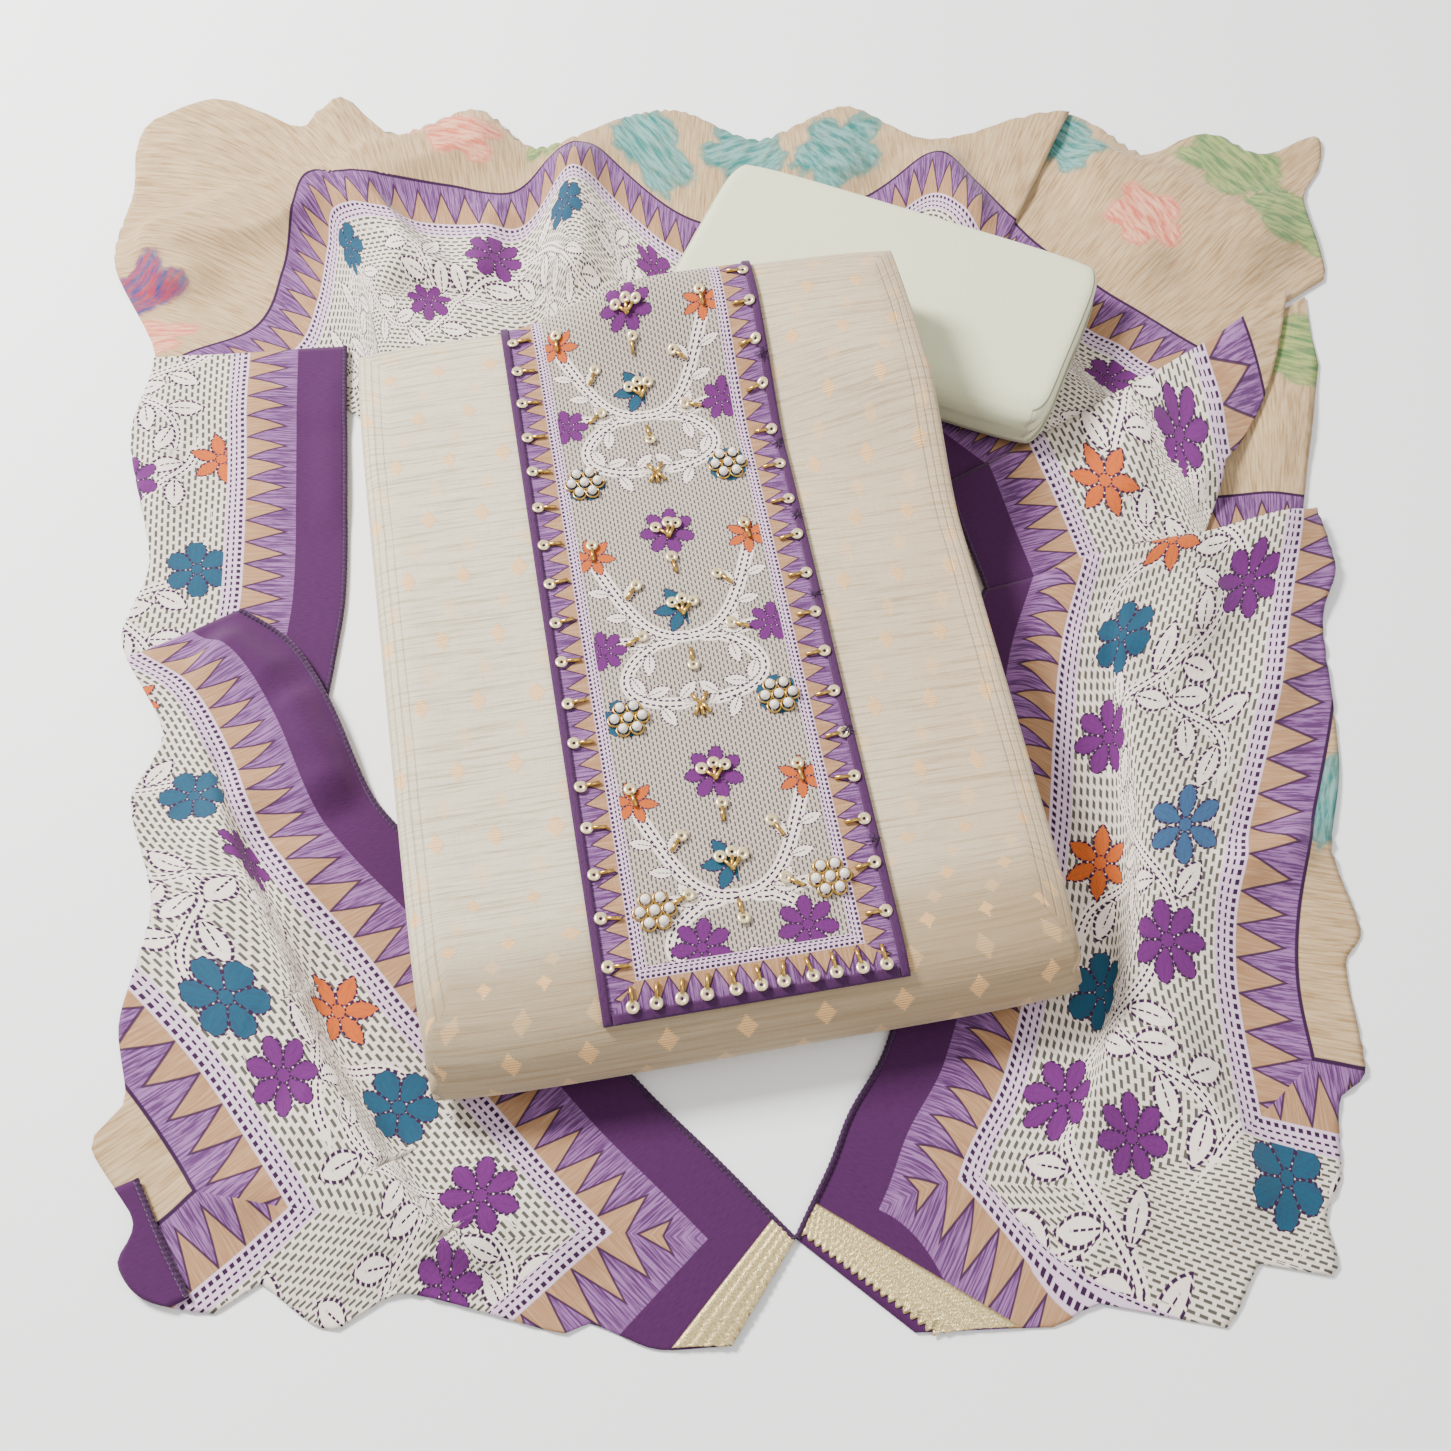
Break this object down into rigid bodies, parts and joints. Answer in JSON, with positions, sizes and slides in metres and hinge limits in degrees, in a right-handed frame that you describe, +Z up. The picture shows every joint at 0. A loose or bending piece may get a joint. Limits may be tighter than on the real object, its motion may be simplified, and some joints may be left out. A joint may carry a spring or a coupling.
{
  "type": "salwar kameez suit set",
  "caption": "Folded unstitched salwar kameez suit: kameez cloth with a sewn neck panel and folded salwar, laid on a printed dupatta with gold lace ends.",
  "frame": {"origin": "centre of the set's outline on the table, at the height of the table", "axes": "+X to the right of the set seen from its front, +Y from the front roll of the kameez to the back, +Z up"},
  "size_m": [0.7216, 0.7401, 0.0735],
  "materials": {
    "kameez_silk": "beige slub silk with small woven gold motifs, soft sheen",
    "salwar_cotton": "plain fine weave, pale green cream, matt",
    "neck_print": "printed and embroidered cotton panel with gold beads and pearls",
    "binding": "dark purple woven strip",
    "dupatta_print": "thin slub cloth, printed border in purple, lilac and tan with stitched dashes and flowers",
    "gold_lace": "crocheted metallic gold thread braid"
  },
  "bodies": {
    "root": {"kameez_fold": "kameez_silk", "salwar_fold": "salwar_cotton", "neck_panel": "neck_print", "binding_left": "binding", "binding_right": "binding", "binding_lower": "binding", "dupatta_top_left": "dupatta_print", "dupatta_top_right": "dupatta_print", "dupatta_left_side": "dupatta_print", "dupatta_left_end": "dupatta_print", "dupatta_left_tip": "dupatta_print", "dupatta_right_side": "dupatta_print", "dupatta_right_plain": "dupatta_print", "dupatta_right_end": "dupatta_print", "lace_left": "gold_lace", "lace_right": "gold_lace"}
  },
  "joints": []
}
